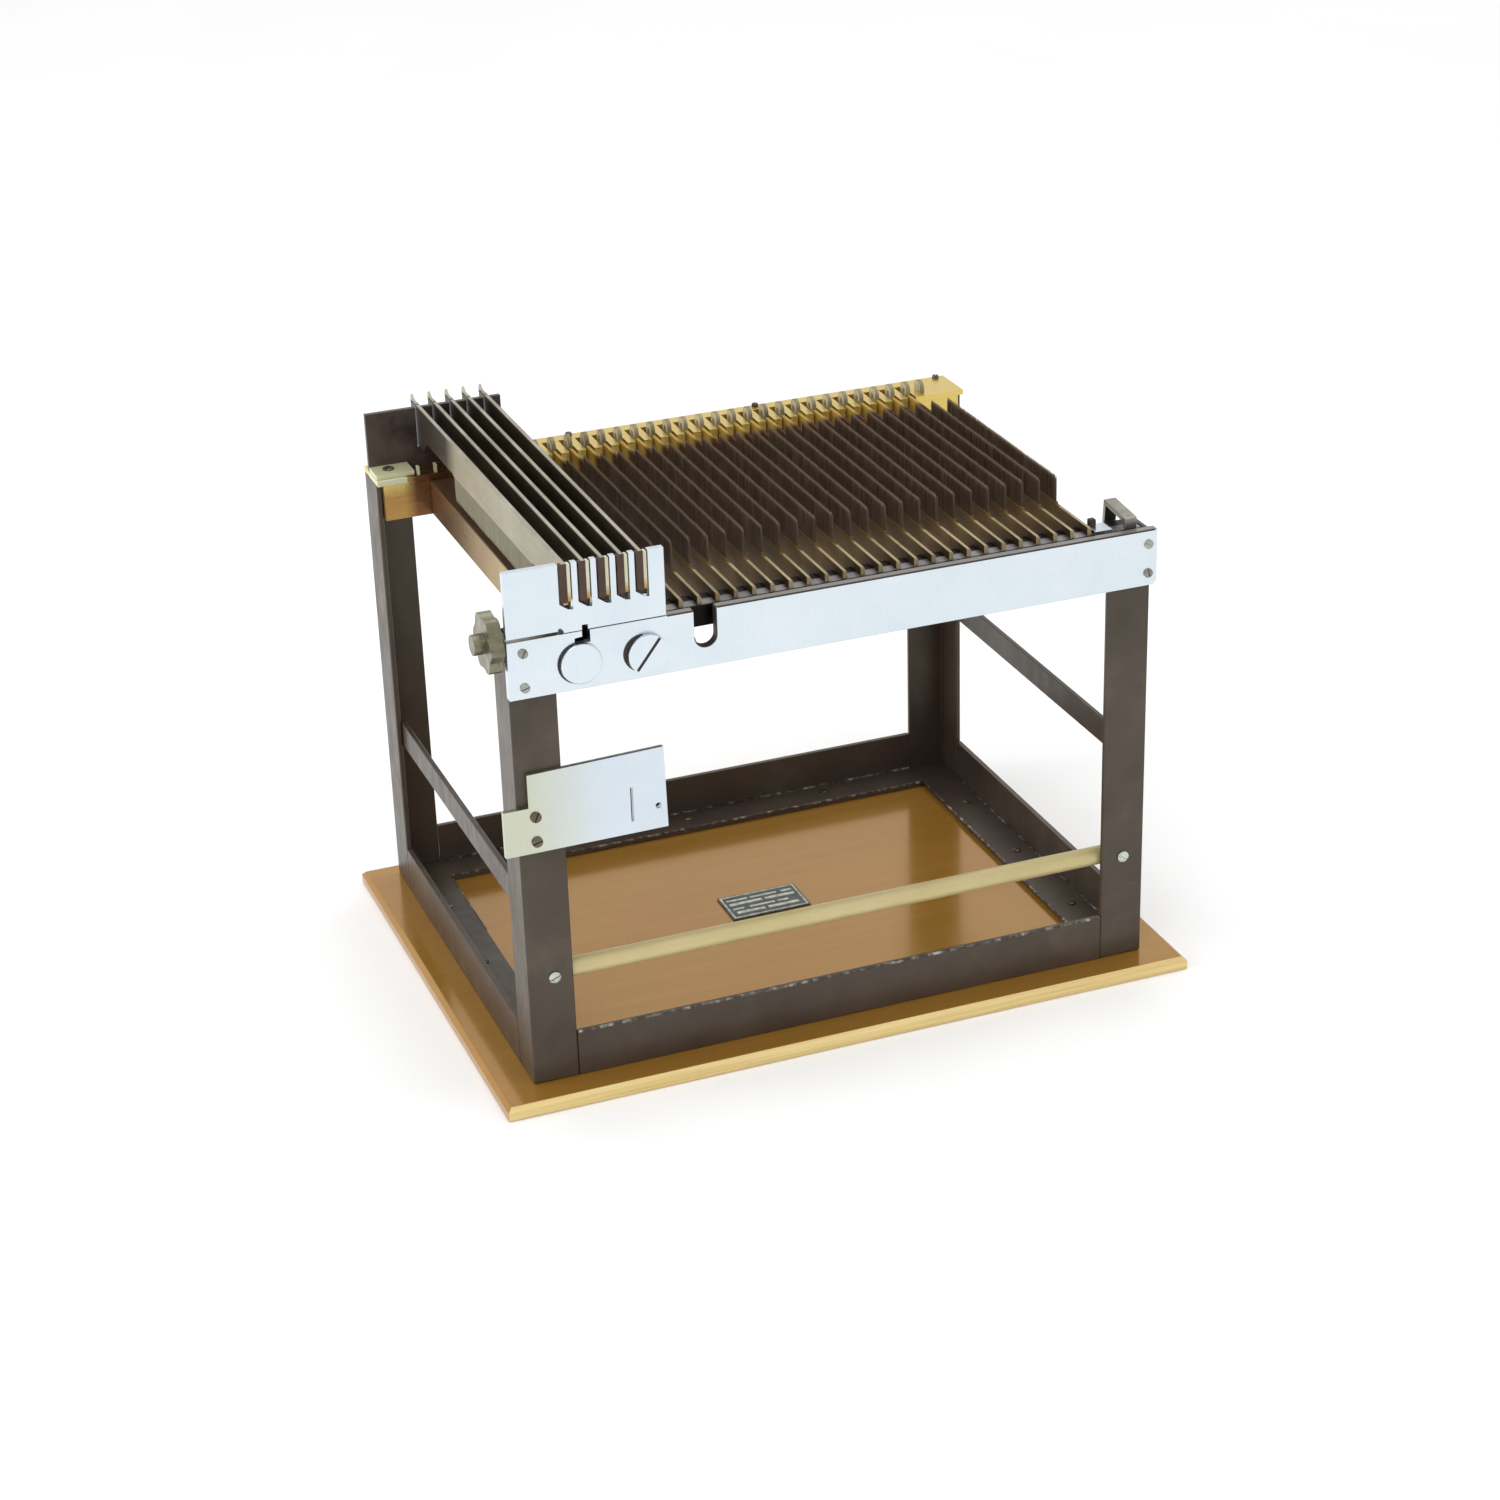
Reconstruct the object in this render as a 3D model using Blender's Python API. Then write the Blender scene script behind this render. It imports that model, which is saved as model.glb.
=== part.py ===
"""Fibre-length comb sorter: an angle-iron stand on a wooden board.

Hinged lower combs run from a slotted brass rail at the back to a polished rail at the
front.  Five upper combs are parked in slotted rest plates at the left end.
Dimensions are in millimetres; +X along the front rail, +Y to the back, +Z up.
The origin is the centre of the board's underside.
"""
import math

import bmesh
import bpy

MM = 0.001

# ---- driving dimensions (mm, measured from the stand's front left corner) ----
STAND_W = 358.0
STAND_D = 267.0
STAND_TOP = 262.5
BOARD_T = 7.5
BOARD_BEVEL = 2.4
BOARD_X = (-20.5, 378.5)
BOARD_Y = (-18.5, 277.5)
ANGLE = 25.0
IRON_T = 3.0
GAP = 0.3
RING_TOP = 34.0

RAIL_X = (-1.0, 359.0)
RAIL_Y = (-5.3, -GAP)
RAIL_Z = (232.5, 264.0)
NOTCH_X = 103.7
NOTCH_R = 6.2
NOTCH_BOTTOM = 242.8

GUIDE_Y = (3.5, 19.0)
GUIDE_SPINE = 6.2
GUIDE_Z = (251.0, 262.2)

REAR_Y = (238.0, 267.0)
REAR_Z = (242.0, 265.8)
REAR_CAP = 3.0
REAR_SLOT_Y = 259.0
SLOT_W = 5.2

LOWER_COUNT = 29
LOWER_X0 = 45.0
PITCH = 10.0
LOWER_T = 2.0
FIELD_T = 1.6
FIELD_CHAMFER = 2.2
ARM_Y = (6.8, 254.0)
ARM_Z = (254.8, 265.8)
FIELD_Y = (46.0, 188.0)
FIELD_TOP = 282.0
PIVOT_Y = 249.0
PIVOT_Z = 258.0
PIVOT_R = 2.0
PIVOT_FIT = 0.08
LUG_Y = (243.0, 252.5)
LUG_TOP = 272.6

UPPER_COUNT = 5
UPPER_X0 = 31.0
UPPER_T = 2.6
UPPER_Z = (283.0, 300.6)
UPPER_TIP = 266.6
HORN_Y = (265.6, 269.6)
HORN_TOP = 303.4

REST_X = (-1.0, 83.0)
REST_FRONT_Y = (-5.3, -1.8)
REST_FRONT_Z = (264.3, 301.0)
REST_REAR_X = (0.0, 79.0)
REST_REAR_Y = (255.5, 258.5)
REST_REAR_Z = (266.1, 299.5)
REST_SLOT_W = 7.0

SIDE_BAR_X = (30.0, 43.0)
SIDE_BAR_Z = (242.0, 262.0)

TIE_ROD_Y = 9.0
TIE_ROD_Z = 68.5
TIE_ROD_R = 5.2

BRACE_H = 15.0
BRACE_LEFT_Z = 100.5
BRACE_RIGHT_Z = 120.7

X_SHIFT = -0.5 * (BOARD_X[0] + BOARD_X[1])
Y_SHIFT = -0.5 * (BOARD_Y[0] + BOARD_Y[1])


# ---- helpers ----
def clear_scene():
    for obj in list(bpy.data.objects):
        bpy.data.objects.remove(obj, do_unlink=True)


def material(name, colour, metallic, roughness):
    mat = bpy.data.materials.new(name)
    mat.use_nodes = True
    shader = mat.node_tree.nodes["Principled BSDF"]
    shader.inputs["Base Color"].default_value = (*colour, 1.0)
    shader.inputs["Metallic"].default_value = metallic
    shader.inputs["Roughness"].default_value = roughness
    mat.diffuse_color = (*colour, 1.0)
    return mat


def place(point):
    return ((point[0] + X_SHIFT) * MM, (point[1] + Y_SHIFT) * MM, point[2] * MM)


def new_object(name, bm):
    bmesh.ops.recalc_face_normals(bm, faces=bm.faces)
    mesh = bpy.data.meshes.new(name)
    bm.to_mesh(mesh)
    bm.free()
    obj = bpy.data.objects.new(name, mesh)
    bpy.context.scene.collection.objects.link(obj)
    return obj


def prism(name, outline, axis, low, high):
    """Extrude a closed outline.  The outline is given in the two axes left after `axis`."""
    bm = bmesh.new()
    order = {"X": (1, 2, 0), "Y": (0, 2, 1), "Z": (0, 1, 2)}[axis]
    rings = []
    for depth in (low, high):
        ring = []
        for u, v in outline:
            point = [0.0, 0.0, 0.0]
            point[order[0]] = u
            point[order[1]] = v
            point[order[2]] = depth
            ring.append(bm.verts.new(place(point)))
        rings.append(ring)
    bm.faces.new(rings[0])
    bm.faces.new(rings[1])
    count = len(outline)
    for i in range(count):
        j = (i + 1) % count
        bm.faces.new((rings[0][i], rings[0][j], rings[1][j], rings[1][i]))
    return new_object(name, bm)


def box(name, x, y, z):
    return prism(name, [(x[0], y[0]), (x[1], y[0]), (x[1], y[1]), (x[0], y[1])], "Z", *z)


def circle(u, v, radius, segments=24):
    step = 2.0 * math.pi / segments
    return [
        (u + radius * math.cos(i * step), v + radius * math.sin(i * step))
        for i in range(segments)
    ]


def cylinder(name, axis, u, v, radius, low, high, segments=24):
    return prism(name, circle(u, v, radius, segments), axis, low, high)


def combine(obj, others, operation):
    """Apply EXACT booleans to `obj` and remove the helper objects."""
    for other in others:
        other.hide_render = True
        other.display_type = "WIRE"
        mod = obj.modifiers.new("bool", "BOOLEAN")
        mod.operation = operation
        mod.solver = "EXACT"
        mod.object = other
    bpy.context.view_layer.update()
    graph = bpy.context.evaluated_depsgraph_get()
    mesh = bpy.data.meshes.new_from_object(obj.evaluated_get(graph))
    obj.modifiers.clear()
    obj.data = mesh
    mesh.name = obj.name
    for other in others:
        bpy.data.objects.remove(other, do_unlink=True)
    return obj


def union(obj, others):
    return combine(obj, others, "UNION")


def cut(obj, others):
    return combine(obj, others, "DIFFERENCE")


def finish(obj, mat, origin=None, bevel=0.0, smooth=False):
    """Weld, bevel long edges, set the material and move the origin."""
    mesh = obj.data
    bm = bmesh.new()
    bm.from_mesh(mesh)
    bmesh.ops.remove_doubles(bm, verts=bm.verts, dist=1e-6)
    bmesh.ops.dissolve_limit(
        bm, angle_limit=0.001, verts=bm.verts, edges=bm.edges, delimit={"NORMAL"}
    )
    if bevel > 0.0:
        sharp = [e for e in bm.edges if e.is_manifold and e.calc_face_angle() > 0.6]
        bmesh.ops.bevel(
            bm, geom=sharp, offset=bevel * MM, segments=1, affect="EDGES", clamp_overlap=True
        )
    bmesh.ops.recalc_face_normals(bm, faces=bm.faces)
    bm.to_mesh(mesh)
    bm.free()
    mesh.materials.clear()
    mesh.materials.append(mat)
    for polygon in mesh.polygons:
        polygon.material_index = 0
    if smooth:
        mesh.shade_smooth()
        mesh.set_sharp_from_angle(angle=math.radians(35.0))
    if origin is not None:
        at = place(origin)
        for vertex in mesh.vertices:
            vertex.co.x -= at[0]
            vertex.co.y -= at[1]
            vertex.co.z -= at[2]
        obj.location = at
    return obj


# ---- the stand ----
def build_board(mat):
    bm = bmesh.new()
    rings = []
    for z, inset in ((0.0, 0.0), (BOARD_T - BOARD_BEVEL, 0.0), (BOARD_T, BOARD_BEVEL)):
        x0, x1 = BOARD_X[0] + inset, BOARD_X[1] - inset
        y0, y1 = BOARD_Y[0] + inset, BOARD_Y[1] - inset
        ring = [(x0, y0, z), (x1, y0, z), (x1, y1, z), (x0, y1, z)]
        rings.append([bm.verts.new(place(p)) for p in ring])
    bm.faces.new(rings[0])
    bm.faces.new(rings[-1])
    for low, high in zip(rings, rings[1:]):
        for i in range(4):
            j = (i + 1) % 4
            bm.faces.new((low[i], low[j], high[j], high[i]))
    finish(new_object("base_board", bm), mat)


def angle_outline(x, y, sx, sy):
    """Corner angle with its heel at (x, y), flanges running along sx and sy."""
    return [
        (x, y),
        (x + sx * ANGLE, y),
        (x + sx * ANGLE, y + sy * IRON_T),
        (x + sx * IRON_T, y + sy * IRON_T),
        (x + sx * IRON_T, y + sy * ANGLE),
        (x, y + sy * ANGLE),
    ]


def build_legs(mat):
    corners = {
        "leg_front_left": (0.0, 0.0, 1, 1),
        "leg_front_right": (STAND_W, 0.0, -1, 1),
        "leg_rear_left": (0.0, STAND_D, 1, -1),
        "leg_rear_right": (STAND_W, STAND_D, -1, -1),
    }
    for name, spec in corners.items():
        leg = prism(name, angle_outline(*spec), "Z", BOARD_T + GAP, STAND_TOP)
        finish(leg, mat, bevel=0.5)


def build_ring(mat):
    """Base frame: flat flange inside, upright flange between the legs."""
    clear = ANGLE + GAP
    inner = IRON_T + GAP
    z0, z1 = BOARD_T + GAP, BOARD_T + GAP + IRON_T
    w, d = STAND_W, STAND_D
    ring = box("base_ring", (inner, w - inner), (inner, d - inner), (z0, z1))
    window = box("window", (ANGLE, w - ANGLE), (ANGLE, d - ANGLE), (z0 - 1, z1 + 1))
    cut(ring, [window])
    sides = [
        box("s1", (clear, w - clear), (0.0, IRON_T), (z0, RING_TOP)),
        box("s2", (clear, w - clear), (d - IRON_T, d), (z0, RING_TOP)),
        box("s3", (0.0, IRON_T), (clear, d - clear), (z0, RING_TOP)),
        box("s4", (w - IRON_T, w), (clear, d - clear), (z0, RING_TOP)),
        box("j1", (clear, w - clear), (1.0, inner + 1), (z0, z1)),
        box("j2", (clear, w - clear), (d - inner - 1, d - 1), (z0, z1)),
        box("j3", (1.0, inner + 1), (clear, d - clear), (z0, z1)),
        box("j4", (w - inner - 1, w - 1), (clear, d - clear), (z0, z1)),
    ]
    union(ring, sides)
    finish(ring, mat)


def build_braces(mat):
    y = (5.0, STAND_D - 5.0)
    left = (IRON_T + GAP, 2 * IRON_T + GAP)
    right = (STAND_W - left[1], STAND_W - left[0])
    for name, x, z in (
        ("brace_left", left, BRACE_LEFT_Z),
        ("brace_right", right, BRACE_RIGHT_Z),
    ):
        finish(box(name, x, y, (z, z + BRACE_H)), mat, bevel=0.4)


def build_tie_rod(mat):
    inset = IRON_T + GAP
    rod = cylinder(
        "tie_rod", "X", TIE_ROD_Y, TIE_ROD_Z, TIE_ROD_R, inset, STAND_W - inset, 28
    )
    finish(rod, mat, smooth=True)


# ---- front rail, comb guide and rear rail ----
def lower_positions():
    return [LOWER_X0 + PITCH * i for i in range(LOWER_COUNT)]


def build_front_rail(mat):
    x0, x1 = RAIL_X
    z0, z1 = RAIL_Z
    outline = [(x0, z0), (x1 - 2, z0), (x1, z0 + 2), (x1, z1)]
    outline += [(NOTCH_X + NOTCH_R, z1)]
    centre_z = NOTCH_BOTTOM + NOTCH_R
    for i in range(13):
        a = math.pi * i / 12
        point = (NOTCH_X + NOTCH_R * math.cos(a), centre_z - NOTCH_R * math.sin(a))
        outline.append(point)
    outline += [(NOTCH_X - NOTCH_R, z1)]
    outline += [(42.5, z1), (42.5, 257.4), (39.0, 256.4), (34.5, 257.4), (34.5, 260.2)]
    outline += [(38.5, 260.6), (38.5, z1), (x0, z1)]
    finish(prism("front_rail", outline, "Y", *RAIL_Y), mat)


def build_guide(mat):
    """Spine behind the front rail with teeth between the comb arms."""
    x0, x1 = IRON_T + GAP + 0.2, STAND_W - IRON_T - GAP - 0.2
    y0, y1 = GUIDE_Y
    outline = [(x0, y0), (x1, y0), (x1, y1)]
    for x in reversed(lower_positions()):
        outline += [(x + 1.4, y1), (x + 1.4, GUIDE_SPINE)]
        outline += [(x - 1.4, GUIDE_SPINE), (x - 1.4, y1)]
    outline += [(x0, y1)]
    finish(prism("comb_guide", outline, "Z", *GUIDE_Z), mat)


def build_rear_rail(mat):
    inset = IRON_T + GAP
    body_y1 = STAND_D - IRON_T - GAP
    body = box(
        "rear_rail", (inset, STAND_W - inset), (REAR_Y[0], body_y1), (REAR_Z[0], REAR_Z[1])
    )
    cap = box("cap", (0.0, STAND_W), REAR_Y, (REAR_Z[1] - REAR_CAP, REAR_Z[1]))
    union(body, [cap])
    half = 0.5 * SLOT_W
    slots = []
    for i, x in enumerate(lower_positions()):
        slot = box("slot%d" % i, (x - half, x + half), (230.0, REAR_SLOT_Y), (230.0, 280.0))
        slots.append(slot)
    bore = cylinder(
        "bore", "X", PIVOT_Y, PIVOT_Z, PIVOT_R + PIVOT_FIT, 20.0, STAND_W - 20.0, 20
    )
    cut(body, slots + [bore])
    finish(body, mat)


def build_pivot_rod(mat):
    rod = cylinder(
        "pivot_rod", "X", PIVOT_Y, PIVOT_Z, PIVOT_R, 20.3, STAND_W - 20.3, 20
    )
    finish(rod, mat, smooth=True)


# ---- combs ----
def lower_outline():
    """Arm with a rounded rear lug, in the Y-Z plane."""
    y0, y1 = ARM_Y
    z0, z1 = ARM_Z
    lug0, lug1 = LUG_Y
    radius = 0.5 * (lug1 - lug0)
    mid = 0.5 * (lug0 + lug1)
    outline = [(y0, z0 + 1.2), (y0 + 3, z0), (226.0, z0), (239.0, 253.4), (252.0, 253.4)]
    outline += [(y1, 255.4), (y1, z1 - 3.0), (lug1, z1)]
    for i in range(9):
        a = math.pi * i / 8
        outline.append((mid + radius * math.cos(a), LUG_TOP - radius + radius * math.sin(a)))
    outline += [(lug0, z1), (y0, z1)]
    return outline


def build_lower_combs(mat):
    half = 0.5 * LOWER_T
    thin = 0.5 * FIELD_T
    f0, f1 = FIELD_Y
    field = [(f0, ARM_Z[1] - 2), (f1, ARM_Z[1] - 2), (f1, FIELD_TOP)]
    field += [(f0 + FIELD_CHAMFER, FIELD_TOP), (f0, FIELD_TOP - FIELD_CHAMFER)]
    for i, x in enumerate(lower_positions()):
        name = "lower_comb_%02d" % (i + 1)
        comb = prism(name, lower_outline(), "X", x - half, x + half)
        union(comb, [prism("field", field, "X", x - thin, x + thin)])
        hole = cylinder(
            "hole", "X", PIVOT_Y, PIVOT_Z, PIVOT_R + PIVOT_FIT, x - 4.0, x + 4.0, 20
        )
        cut(comb, [hole])
        finish(comb, mat, origin=(x, PIVOT_Y, PIVOT_Z))


def upper_outline():
    z0, z1 = UPPER_Z
    h0, h1 = HORN_Y
    return [
        (-4.6, 278.7),
        (14.0, 278.7),
        (20.0, z0),
        (238.0, z0),
        (246.0, 276.0),
        (h1, 276.0),
        (h1, HORN_TOP - 3.0),
        (h1 - 1.6, HORN_TOP),
        (h0, HORN_TOP - 4.0),
        (h0, z1 - 2.0),
        (h0 - 9.0, z1),
        (-4.6, z1),
    ]


def build_upper_combs(mat):
    half = 0.5 * UPPER_T
    thin = 0.5 * FIELD_T
    f0, f1 = FIELD_Y
    for i in range(UPPER_COUNT):
        x = UPPER_X0 + PITCH * i
        comb = prism("upper_comb_%d" % (i + 1), upper_outline(), "X", x - half, x + half)
        field = [(f0, UPPER_TIP), (f1, UPPER_TIP), (f1, UPPER_Z[0] + 2), (f0, UPPER_Z[0] + 2)]
        union(comb, [prism("field", field, "X", x - thin, x + thin)])
        finish(comb, mat, origin=(x, 130.0, UPPER_Z[0]))


# ---- upper comb rest ----
def build_rest_front(mat):
    x0, x1 = REST_X
    z0, z1 = REST_FRONT_Z
    outline = [(x0, z0 + 1.3), (26.0, z0 + 1.3), (26.6, z0)]
    outline += [(38.6, z0), (38.6, z0 + 2.6), (41.6, z0 + 2.6), (41.6, z0), (x1, z0), (x1, z1)]
    for i in reversed(range(UPPER_COUNT)):
        left = UPPER_X0 + PITCH * i - 0.5 * REST_SLOT_W
        right = left + REST_SLOT_W
        outline += [(right, z1), (right, 276.2), (right - 2.6, 276.6)]
        outline += [(left, 279.8), (left, z1)]
    outline += [(x0, z1)]
    finish(prism("rest_plate_front", outline, "Y", *REST_FRONT_Y), mat)


def build_rest_rear(mat):
    x0, x1 = REST_REAR_X
    z0, z1 = REST_REAR_Z
    outline = [(x0, z0), (x1, z0), (x1, z1)]
    for i in reversed(range(UPPER_COUNT)):
        left = UPPER_X0 + PITCH * i - 2.0
        outline += [(left + 4.0, z1), (left + 4.0, z1 - 23.8), (left, z1 - 23.8), (left, z1)]
    outline += [(x0, z1)]
    plate = prism("rest_plate_rear", outline, "Y", *REST_REAR_Y)
    foot = box("foot", (x0, 22.0), (240.0, 256.5), (z0, z0 + 2.5))
    union(plate, [foot])
    finish(plate, mat)


def build_side_bar(mat):
    """Cross member beside the first lower comb, from the comb guide to the rear rail."""
    y = (GUIDE_Y[1] + GAP, REAR_Y[0] - GAP)
    finish(box("side_bar", SIDE_BAR_X, y, SIDE_BAR_Z), mat, bevel=0.4)


# ---- small fittings ----
def build_catch_plate(mat):
    """Stepped plate on the front left leg with a slit and a hole."""
    outline = [(-8.0, 145.0), (80.0, 145.6), (79.0, 191.5), (5.5, 189.5), (5.5, 171.0)]
    outline += [(-8.0, 171.0)]
    plate = prism("catch_plate", outline, "Y", -3.3, -GAP)
    slit = box("slit", (60.0, 61.4), (-9.0, 9.0), (152.5, 171.5))
    hole = cylinder("hole", "Y", 75.0, 158.5, 1.6, -9.0, 9.0, 16)
    cut(plate, [slit, hole])
    finish(plate, mat)


def build_nameplate(mat):
    plate = box("nameplate", (161.0, 209.0), (125.5, 153.5), (BOARD_T + GAP, BOARD_T + 1.1))
    finish(plate, mat, bevel=0.15)


def build_knob(mat):
    """Fluted clamp knob with a hub, on the left end of the front rail."""
    y, z = 8.0, 260.5
    outline = []
    for i in range(48):
        a = 2.0 * math.pi * i / 48
        r = 14.6 + 1.3 * math.cos(6.0 * a)
        outline.append((y + r * math.cos(a), z + r * math.sin(a)))
    knob = prism("clamp_knob", outline, "X", -9.5, -2.3)
    hub = cylinder("hub", "X", y, z, 5.4, -15.0, -9.0, 24)
    collar = cylinder("collar", "X", y, z, 8.0, -3.0, -0.4, 24)
    union(knob, [hub, collar])
    finish(knob, mat, origin=(-0.4, y, z), smooth=True)


def build_discs(mat):
    disc = cylinder("eccentric_disc", "Y", 36.7, 247.0, 10.8, -8.0, -5.6, 40)
    finish(disc, mat, origin=(36.7, -5.6, 247.0), bevel=0.4, smooth=True)
    screw = cylinder("rest_screw", "Y", 71.8, 245.8, 10.6, -8.2, -5.6, 40)
    c, s = math.cos(math.radians(52.0)), math.sin(math.radians(52.0))
    slot = []
    for u, v in ((-14, -0.8), (14, -0.8), (14, 0.8), (-14, 0.8)):
        slot.append((71.8 + u * c - v * s, 245.8 + u * s + v * c))
    cut(screw, [prism("drive", slot, "Y", -9.0, -7.0)])
    finish(screw, mat, origin=(71.8, -5.6, 245.8), smooth=True)


def build_end_bracket(mat):
    """Bent strap at the right end of the comb row."""
    z = GUIDE_Z[1] + GAP
    outline = [(4.0, z), (6.4, z), (6.4, 266.0), (26.6, 268.2), (28.6, 253.0), (31.0, 253.0)]
    outline += [(29.0, 271.0), (4.0, 268.6)]
    finish(prism("end_bracket", outline, "X", 344.5, 351.5), mat)


def main():
    clear_scene()
    wood = material("board_wood", (0.42, 0.25, 0.10), 0.0, 0.18)
    iron = material("iron_paint", (0.045, 0.032, 0.028), 0.0, 0.42)
    steel = material("polished_steel", (0.74, 0.78, 0.82), 1.0, 0.22)
    brass = material("rail_brass", (0.72, 0.56, 0.24), 1.0, 0.30)
    comb = material("comb_metal", (0.20, 0.16, 0.11), 1.0, 0.42)
    upper = material("upper_comb_metal", (0.52, 0.49, 0.40), 1.0, 0.30)
    pale = material("rod_pale", (0.72, 0.66, 0.40), 1.0, 0.34)
    dark = material("rest_dark", (0.06, 0.05, 0.045), 0.6, 0.40)
    plate = material("plate_enamel", (0.07, 0.09, 0.08), 0.0, 0.45)

    build_board(wood)
    build_legs(iron)
    build_ring(iron)
    build_braces(iron)
    build_tie_rod(pale)
    build_front_rail(steel)
    build_guide(steel)
    build_rear_rail(brass)
    build_pivot_rod(steel)
    build_lower_combs(comb)
    build_upper_combs(upper)
    build_rest_front(steel)
    build_rest_rear(dark)
    build_side_bar(brass)
    build_catch_plate(steel)
    build_nameplate(plate)
    build_knob(steel)
    build_discs(steel)
    build_end_bracket(steel)


main()
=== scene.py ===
"""Looks for the fibre comb sorter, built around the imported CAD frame.

Lengths are millimetres in the stand's own axes unless a name says otherwise: x runs along
the front rail and y towards the rear rail, both from the front left leg's outer corner, and
z runs up from the floor.
"""
import math
import random

import bmesh
import bpy
from mathutils import Matrix, Vector


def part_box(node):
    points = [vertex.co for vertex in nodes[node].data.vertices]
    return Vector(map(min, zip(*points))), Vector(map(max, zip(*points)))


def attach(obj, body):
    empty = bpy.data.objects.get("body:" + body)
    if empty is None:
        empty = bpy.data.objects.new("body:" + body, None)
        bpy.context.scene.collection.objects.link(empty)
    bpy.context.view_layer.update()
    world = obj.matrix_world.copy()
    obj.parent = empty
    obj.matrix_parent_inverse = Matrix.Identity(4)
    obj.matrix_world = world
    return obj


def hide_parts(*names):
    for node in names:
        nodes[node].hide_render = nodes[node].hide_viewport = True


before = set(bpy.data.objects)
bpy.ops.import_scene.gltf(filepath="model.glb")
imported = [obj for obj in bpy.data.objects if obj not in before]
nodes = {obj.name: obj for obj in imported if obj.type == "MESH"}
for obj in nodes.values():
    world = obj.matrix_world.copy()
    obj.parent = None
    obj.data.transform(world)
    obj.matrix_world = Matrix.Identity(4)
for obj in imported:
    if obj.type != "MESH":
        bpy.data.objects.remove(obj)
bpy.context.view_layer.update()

MM = 0.001
ROOT = "stand"
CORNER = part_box("leg_front_left")[0].copy()
CORNER.z = 0.0


def at(x, y, z):
    """Stand coordinates to the row frame in metres."""
    return Vector((CORNER.x + x * MM, CORNER.y + y * MM, z * MM))


def spans(node):
    """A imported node's box in stand coordinates: its low and high end along x, y and z."""
    low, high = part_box(node)
    return [((low[i] - CORNER[i]) / MM, (high[i] - CORNER[i]) / MM) for i in range(3)]


def front_centre(node):
    """Middle of a node's box as seen from the front, in x and z."""
    x, _, z = spans(node)
    return (0.5 * (x[0] + x[1]), 0.5 * (z[0] + z[1]))


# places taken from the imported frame
BOARD_TOP = spans("base_board")[2][1]
LEG_WIDE = spans("leg_front_left")[0][1]
RIGHT_LEG = spans("leg_front_right")[0][0]
REAR_LEG = spans("leg_rear_left")[1][0]
RING_RIGHT = spans("base_ring")[0][1]
RING_BACK = spans("base_ring")[1][1]
RING_TOP = spans("base_ring")[2][1]
RAIL_FACE = spans("front_rail")[1][0]
RAIL_TOP = spans("front_rail")[2][1]
DISC = front_centre("eccentric_disc")
REST_SCREW = front_centre("rest_screw")
REST_SCREW_FACE = spans("rest_screw")[1][0]
CATCH_FACE = spans("catch_plate")[1][0]
REAR_RAIL_TOP = spans("rear_rail")[2][1]
ARM_Y = spans("lower_comb_01")[1]
HINGE_UNDER, FIELD_TOP = spans("lower_comb_01")[2]
UPPER_FRONT, HORN_BACK = spans("upper_comb_1")[1]
HORN_TOP = spans("upper_comb_1")[2][1]

# combs
LOWER_COUNT = 29
UPPER_COUNT = 5
FIELD = (46.0, 188.0)        # the needle field's two ends along a comb
FIELD_CHAMFER = 2.2          # how much shorter the first needle is than the full ones
NEEDLE_STEP = 0.82
NEEDLE_RADIUS = 0.40
NEEDLE_STAGGER = 0.34        # half the distance between the two rows of needles
BAR_Z = (254.8, 265.8)       # a lower comb's arm, underside and top
LUG_Y = (243.0, 252.5)
LUG_TOP = 272.6
UPPER_UNDER = 283.0
UPPER_TOP = 300.6

# stand
NOTCH = (103.7, 249.0)       # centre of the front rail's round notch bottom, in x and z
FLANGE_TOP = BOARD_TOP + 3.3     # top of the base ring's flat flange

rng = random.Random(7)


# ---------------------------------------------------------------- materials
def srgb(r, g, b):
    def one(v):
        v /= 255.0
        return v / 12.92 if v <= 0.04045 else ((v + 0.055) / 1.055) ** 2.4

    return (one(r), one(g), one(b), 1.0)


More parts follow.
